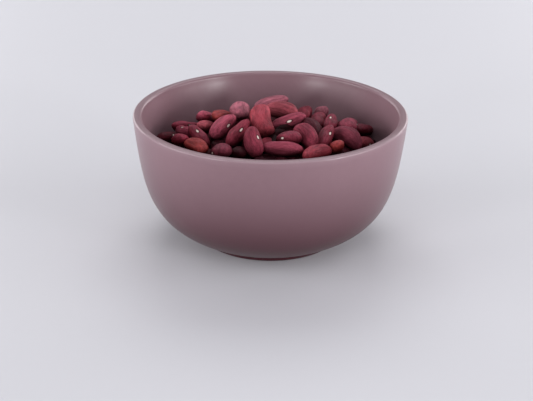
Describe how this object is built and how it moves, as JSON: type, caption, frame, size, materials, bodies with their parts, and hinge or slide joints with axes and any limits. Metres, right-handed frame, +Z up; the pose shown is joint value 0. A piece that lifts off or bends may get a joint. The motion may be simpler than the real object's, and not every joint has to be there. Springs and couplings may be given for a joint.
{
  "type": "bowl of dried beans",
  "caption": "Round stoneware bowl with a low foot, heaped with dried red kidney beans; the bowl and its bean heap rest as one piece.",
  "frame": {"origin": "middle of the foot, on the surface that the bowl stands on", "axes": "+Z up along the bowl's axis, -Y towards the viewer of the picture"},
  "size_m": [0.12, 0.12, 0.0578],
  "materials": {
    "glazed_stoneware": "satin mauve glaze, lighter at grazing angles",
    "dried_beans": null
  },
  "bodies": {
    "root": {"bowl": "glazed_stoneware", "bean_heap": "dried_beans"}
  },
  "joints": []
}
